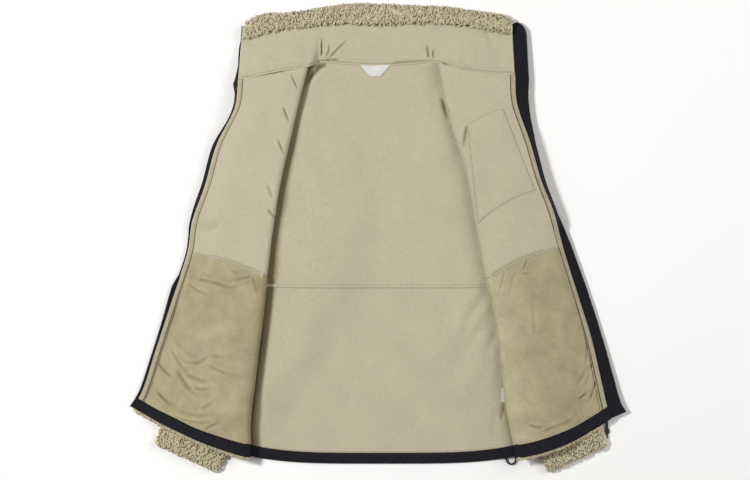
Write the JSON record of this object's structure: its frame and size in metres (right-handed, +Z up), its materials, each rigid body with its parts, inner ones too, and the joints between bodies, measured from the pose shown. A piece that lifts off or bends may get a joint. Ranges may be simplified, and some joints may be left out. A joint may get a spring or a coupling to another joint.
{
  "type": "fleece jacket",
  "caption": "Long-sleeved zip-front fleece jacket laid open on its back, fronts folded out over the back, sleeves folded under it, stand collar, hem band and a swinging zip pull.",
  "frame": {"origin": "middle of the laid-out jacket's box, on the surface that it lies on", "axes": "+X towards the wearer's left, +Y towards the collar, +Z up from the surface, towards the jacket's inner side"},
  "size_m": [0.8494, 0.7948, 0.0428],
  "materials": {
    "fleece": "smooth brushed fleece, matte",
    "sherpa": "curly sherpa pile, matte",
    "satin": "satin lining, soft sheen",
    "pocket_fleece": "smooth brushed fleece, stitched round",
    "hem_band": "black woven band, matte",
    "edge_tape": "flat woven tape, matte",
    "zip_tape": "black twill zip tape with coil teeth",
    "label": "bare woven satin label",
    "cord": "braided elastic cord, matte",
    "zip_metal": "black enamelled zinc"
  },
  "bodies": {
    "jacket": {"back_upper": "fleece", "back_lower": "fleece", "front_right_upper": "fleece", "front_left_upper": "fleece", "front_right_lower": "fleece", "front_left_lower": "fleece", "hem_band_right": "hem_band", "hem_band_back": "hem_band", "hem_band_left": "hem_band", "pocket_bag_right": "satin", "pocket_bag_left": "satin", "chest_pocket_bag": "pocket_fleece", "sleeve_right": "sherpa", "sleeve_left": "sherpa", "collar_outer": "sherpa", "collar_inner": "fleece", "edge_tape_right": "edge_tape", "edge_tape_left": "edge_tape", "zip_tape_right": "zip_tape", "zip_tape_left": "zip_tape", "neck_label": "label", "side_label": "label", "hem_cord": "cord", "zip_slider": "zip_metal"},
    "zip_pull": {"zip_pull": "zip_metal"}
  },
  "joints": [
    {"name": "zip_pull_hinge", "type": "hinge", "parent": "jacket", "child": "zip_pull", "pos_m": [0.39, -0.298, 0.00656], "axis": [0.967, 0.1016, -0.2335], "range_deg": [0, 150]}
  ]
}
